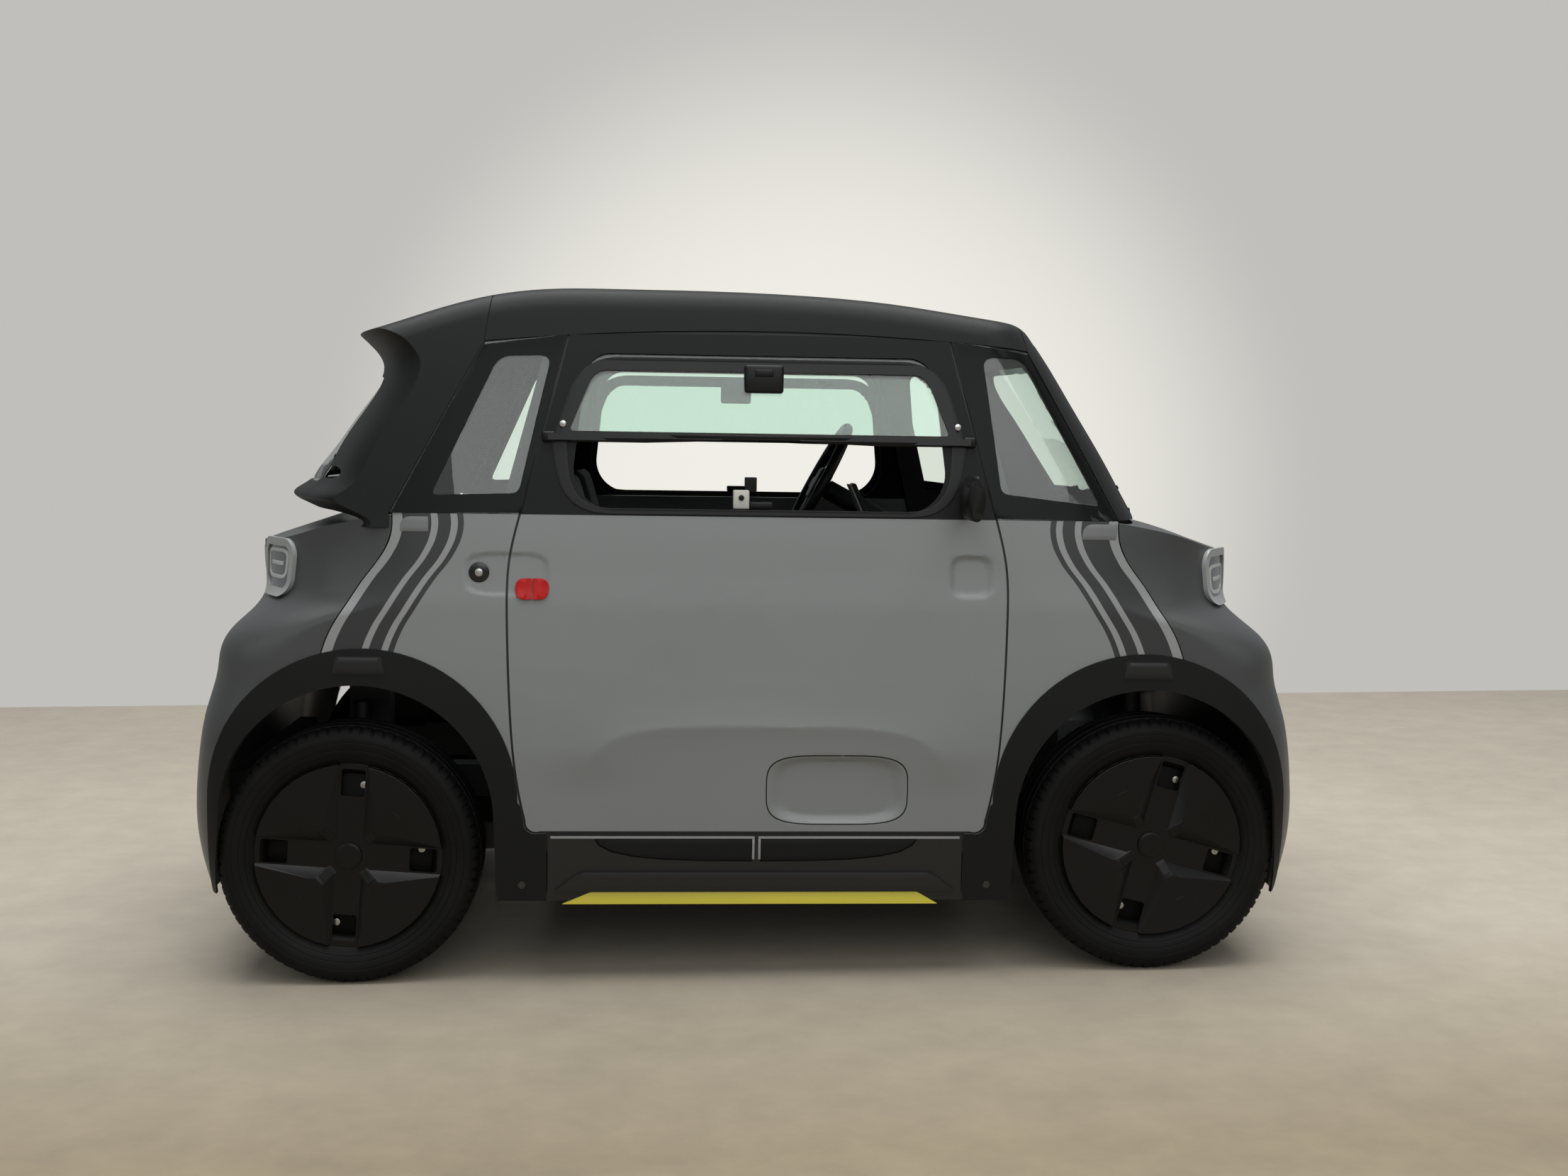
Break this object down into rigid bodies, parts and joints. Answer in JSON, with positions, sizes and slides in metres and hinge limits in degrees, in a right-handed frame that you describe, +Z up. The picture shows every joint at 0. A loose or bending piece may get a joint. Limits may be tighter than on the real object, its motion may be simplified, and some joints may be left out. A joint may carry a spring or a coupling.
{
  "type": "microcar",
  "caption": "Short electric city car with steel frame, moulded panels, swinging doors with open flap windows, steered front wheels and a bare cab.",
  "frame": {"origin": "on the floor, midway between the axles and between the wheels", "axes": "+X towards the front, +Y towards the left side, +Z up"},
  "size_m": [2.4111, 1.614, 1.5066],
  "materials": {
    "panel_grey": "satin grey moulded through, lightly glossy",
    "panel_charcoal": "satin charcoal moulded panel",
    "trim_black": "matt grained black plastic",
    "strip_yellow": "yellow satin strip",
    "lamp_white": "glossy light grey surround",
    "lamp_lens": "clear lens over a grey reflector",
    "window_glass": "green-tinted safety glass",
    "frame_steel": "black painted steel",
    "tyre_rubber": "matt black rubber",
    "seat_plastic": "matt black shell",
    "seat_fabric": "dark grey woven cloth",
    "pack_metal": "bare cast casing",
    "button_metal": "satin metal button"
  },
  "bodies": {
    "car_body": {"arch_trims": "trim_black", "battery": "pack_metal", "body_frame": "frame_steel", "chassis": "frame_steel", "corner_panel_front_left": "panel_grey", "corner_panel_front_right": "panel_grey", "corner_panel_rear_left": "panel_grey", "corner_panel_rear_right": "panel_grey", "dashboard": "trim_black", "door_buttons": "button_metal", "face_panel_front": "panel_charcoal", "face_panel_rear": "panel_charcoal", "floor_pan": "frame_steel", "front_pillars": "panel_charcoal", "front_suspension": "frame_steel", "lamp_bezels_front": "lamp_white", "lamp_bezels_rear": "lamp_white", "lamp_lenses_front": "lamp_lens", "lamp_lenses_rear": "lamp_lens", "motor": "pack_metal", "quarter_windows": "window_glass", "rear_axle": "frame_steel", "rear_surround": "panel_charcoal", "rear_window": "window_glass", "roof_panel": "panel_charcoal", "seat_pads": "seat_fabric", "seat_shells": "seat_plastic", "sill_strips": "strip_yellow", "sills": "panel_grey", "steering_column": "trim_black", "windscreen": "window_glass"},
    "door_left": {"door_left_panel": "panel_grey", "door_left_frame": "panel_charcoal", "door_left_glass": "window_glass", "door_left_flap_frame": "trim_black", "door_left_mirror": "trim_black"},
    "knuckle_left": {"knuckle_left": "frame_steel"},
    "door_right": {"door_right_panel": "panel_grey", "door_right_frame": "panel_charcoal", "door_right_glass": "window_glass", "door_right_flap_frame": "trim_black", "door_right_mirror": "trim_black"},
    "knuckle_right": {"knuckle_right": "frame_steel"},
    "wheel_front_left": {"wheel_front_left": "trim_black", "tyre_front_left": "tyre_rubber"},
    "wheel_front_right": {"wheel_front_right": "trim_black", "tyre_front_right": "tyre_rubber"},
    "wheel_rear_left": {"wheel_rear_left": "trim_black", "tyre_rear_left": "tyre_rubber"},
    "wheel_rear_right": {"wheel_rear_right": "trim_black", "tyre_rear_right": "tyre_rubber"},
    "steering_wheel": {"steering_wheel": "trim_black"}
  },
  "joints": [
    {"name": "door_right_swing", "type": "hinge", "parent": "car_body", "child": "door_right", "pos_m": [0.5347, -0.692, 0.63257], "axis": [0.014, 0, 0.9999], "range_deg": [0, 70]},
    {"name": "door_left_swing", "type": "hinge", "parent": "car_body", "child": "door_left", "pos_m": [-0.5252, 0.692, 0.64737], "axis": [0.014, 0, 0.9999], "range_deg": [0, 70]},
    {"name": "steer_right", "type": "hinge", "parent": "car_body", "child": "knuckle_right", "pos_m": [0.864, -0.52, 0.2785], "axis": [0, 0, 1], "range_deg": [-30, 30]},
    {"name": "spin_front_right", "type": "hinge", "parent": "knuckle_right", "child": "wheel_front_right", "pos_m": [0.864, -0.58, 0.2785], "axis": [0, 1, 0], "continuous": true},
    {"name": "spin_rear_right", "type": "hinge", "parent": "car_body", "child": "wheel_rear_right", "pos_m": [-0.864, -0.58, 0.2785], "axis": [0, 1, 0], "continuous": true},
    {"name": "steer_left", "type": "hinge", "parent": "car_body", "child": "knuckle_left", "pos_m": [0.864, 0.52, 0.2785], "axis": [0, 0, 1], "range_deg": [-30, 30]},
    {"name": "spin_front_left", "type": "hinge", "parent": "knuckle_left", "child": "wheel_front_left", "pos_m": [0.864, 0.58, 0.2785], "axis": [0, 1, 0], "continuous": true},
    {"name": "spin_rear_left", "type": "hinge", "parent": "car_body", "child": "wheel_rear_left", "pos_m": [-0.864, 0.58, 0.2785], "axis": [0, 1, 0], "continuous": true},
    {"name": "steering_wheel_turn", "type": "hinge", "parent": "car_body", "child": "steering_wheel", "pos_m": [0.21038, 0.3, 1.04214], "axis": [-0.8763, 0, 0.4818], "range_deg": [-360, 360]}
  ],
  "couplings": [
    {"joint": "steer_left", "follows": "steer_right", "ratio": 1},
    {"joint": "steering_wheel_turn", "follows": "steer_right", "ratio": 12}
  ]
}
